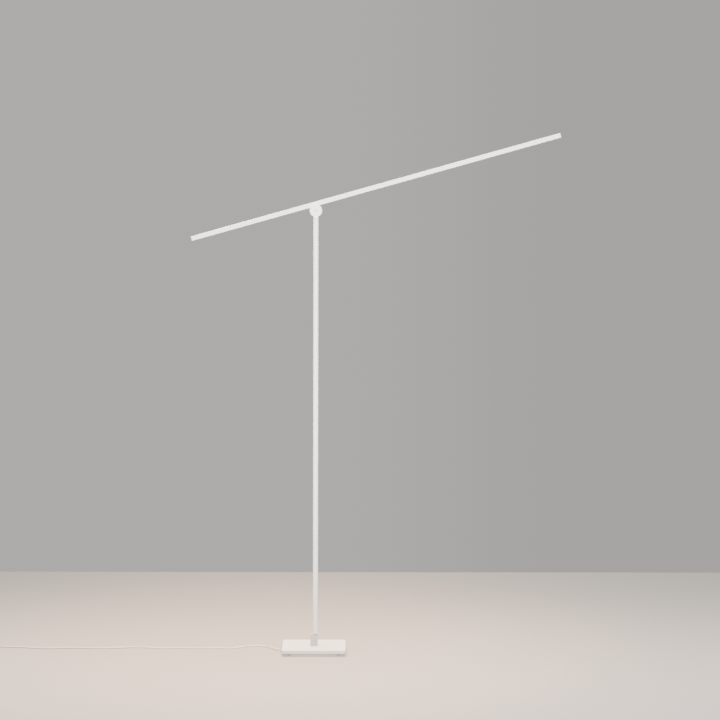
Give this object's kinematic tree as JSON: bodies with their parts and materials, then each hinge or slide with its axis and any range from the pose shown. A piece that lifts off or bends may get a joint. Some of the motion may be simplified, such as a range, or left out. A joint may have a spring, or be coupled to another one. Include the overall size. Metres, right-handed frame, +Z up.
{
  "type": "adjustable arm floor lamp",
  "caption": "Free-standing floor lamp: long slim light bar tilting on a round hub at the top of a thin pole, on a flat rectangular base with a supply cord.",
  "frame": {"origin": "on the floor, under the middle of the base plate", "axes": "+X towards the long end of the arm at rest, +Y towards the back of the lamp, +Z up"},
  "size_m": [2.4191, 0.18, 2.1341],
  "materials": {
    "powder_white_steel": "fine matt white powder coat on steel",
    "powder_pale_grey_steel": "fine matt pale grey powder coat on steel",
    "powder_white_aluminium": "fine matt white powder coat on aluminium",
    "satin_white_cap": "satin moulded white",
    "white_elastomer": "soft matt white elastomer",
    "grey_elastomer": "matt grey elastomer",
    "zinc_steel": "zinc plated",
    "black_oxide_steel": "black oxide grub screw",
    "spring_steel": "bright spring steel",
    "turned_steel": "turned steel",
    "natural_polymer": "self-lubricating natural polymer",
    "white_case": "moulded white case",
    "clear_terminal": "translucent natural polymer",
    "foam_pad": "closed-cell foam tape",
    "white_cord": "matt white round cord sheath",
    "lead_sheath": "thin white sheath",
    "plug_plastic": "moulded white",
    "plug_metal": "nickel plated brass",
    "board_white": "white solder mask on a circuit board",
    "board_aluminium": "white solder mask on aluminium",
    "led_phosphor": "phosphor-filled silicone",
    "opal_diffuser": "opal diffuser",
    "button_white": "fine matt moulded white",
    "dark_friction": "friction lining"
  },
  "bodies": {
    "base": {"base_plate": "powder_white_steel", "base_feet": "grey_elastomer", "foot_screws": "zinc_steel", "driver_tray": "powder_white_steel", "tray_spacers": "zinc_steel", "tray_screws": "zinc_steel", "driver_pad": "foam_pad", "led_driver": "white_case", "terminal_block": "clear_terminal", "mains_lead": "lead_sheath", "base_lead": "lead_sheath", "cord_clamp": "natural_polymer", "clamp_screws": "zinc_steel", "strain_relief": "white_elastomer", "cord_tail": "white_cord", "supply_cord": "white_cord", "cord_coil": "white_cord", "plug_body": "plug_plastic", "plug_pins": "plug_metal", "foot_block": "powder_pale_grey_steel", "block_screws": "zinc_steel", "upper_bush": "natural_polymer", "lower_bush": "natural_polymer", "swivel_stop_screw": "black_oxide_steel"},
    "pole": {"pole_spindle": "turned_steel", "swivel_stop_pin": "turned_steel", "swivel_washer": "spring_steel", "retaining_ring": "spring_steel", "pole_tube": "powder_white_steel", "pole_set_screws": "black_oxide_steel", "pole_head": "turned_steel", "hub_bush": "natural_polymer", "friction_washers": "dark_friction", "pole_lead": "lead_sheath"},
    "arm": {"front_cheek": "powder_white_aluminium", "rear_cheek": "powder_white_aluminium", "arm_saddle": "powder_white_aluminium", "cheek_screws": "zinc_steel", "saddle_screws": "zinc_steel", "hub_axle": "turned_steel", "disc_springs": "spring_steel", "axle_nut": "zinc_steel", "dimmer_board": "board_white", "front_cap": "satin_white_cap", "rear_cap": "satin_white_cap", "arm_profile": "powder_white_aluminium", "hub_insert": "powder_white_aluminium", "led_boards": "board_aluminium", "led_chips": "led_phosphor", "diffuser_short": "opal_diffuser", "diffuser_long": "opal_diffuser", "end_caps": "powder_white_aluminium", "arm_lead": "lead_sheath"},
    "button": {"dimmer_button": "button_white"}
  },
  "joints": [
    {"name": "pole_swivel", "type": "hinge", "parent": "base", "child": "pole", "pos_m": [0.0055, 0, 0.049], "axis": [0, 0, 1], "range_deg": [-145, 145]},
    {"name": "arm_tilt", "type": "hinge", "parent": "pole", "child": "arm", "pos_m": [0.0055, 0, 1.82], "axis": [0, -1, 0], "range_deg": [-105.8, 74.2]},
    {"name": "button_press", "type": "slide", "parent": "arm", "child": "button", "axis": [0, 1, 0], "range_m": [0, 0.0007], "stiffness_N_per_m": 700, "springref_m": -0.0007}
  ]
}
